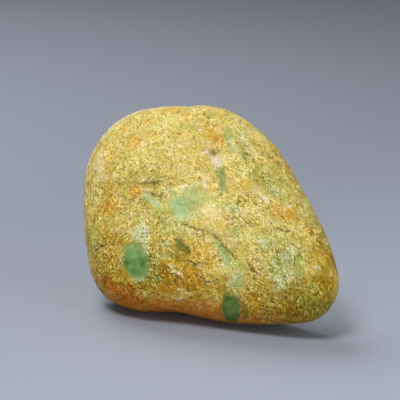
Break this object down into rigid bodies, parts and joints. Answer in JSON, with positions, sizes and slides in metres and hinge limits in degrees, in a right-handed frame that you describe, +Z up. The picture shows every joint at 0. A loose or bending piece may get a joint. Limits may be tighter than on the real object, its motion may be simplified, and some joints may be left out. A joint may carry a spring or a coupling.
{
  "type": "jadeite boulder",
  "caption": "Palm-sized river-worn jadeite boulder with an ochre skin and small green windows, standing on a small flat.",
  "frame": {"origin": "centre of the bounding box in X and Y, at the height of the flat foot that the stone stands on", "axes": "+Z up as the stone stands; X across the broad face, +X towards its pointed end; the face with the green windows looks along -Y"},
  "size_m": [0.0944, 0.0586, 0.0751],
  "materials": {
    "boulder_skin": "granular ochre skin, worn smooth, with slightly glossy green windows"
  },
  "bodies": {
    "root": {"boulder": "boulder_skin"}
  },
  "joints": []
}
